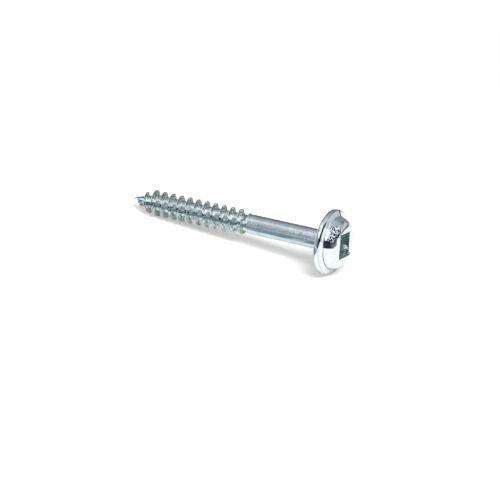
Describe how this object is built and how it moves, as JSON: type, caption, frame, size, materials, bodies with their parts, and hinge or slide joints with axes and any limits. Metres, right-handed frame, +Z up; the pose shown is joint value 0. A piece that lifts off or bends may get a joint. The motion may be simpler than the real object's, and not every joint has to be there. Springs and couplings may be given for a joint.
{
  "type": "pocket hole screw",
  "caption": "Washer head wood screw with a square drive, a plain shank and a fine right-hand thread, for pulling joints together from inside a pocket hole.",
  "frame": {"origin": "centre of the bounding box in plan, on the level plane that the screw lies on", "axes": "+X towards the head, along the screw's length; the screw's axis slopes down 5.7 degrees to the tip, because it rests on its flange's rim and on its thread; +Z is up"},
  "size_m": [0.0344, 0.0092, 0.0092],
  "materials": {
    "zinc_plate": "bright zinc plating over steel, near mirror on the shank and head, with fine rolling marks and small nicks"
  },
  "bodies": {
    "root": {"pocket_screw": "zinc_plate"}
  },
  "joints": []
}
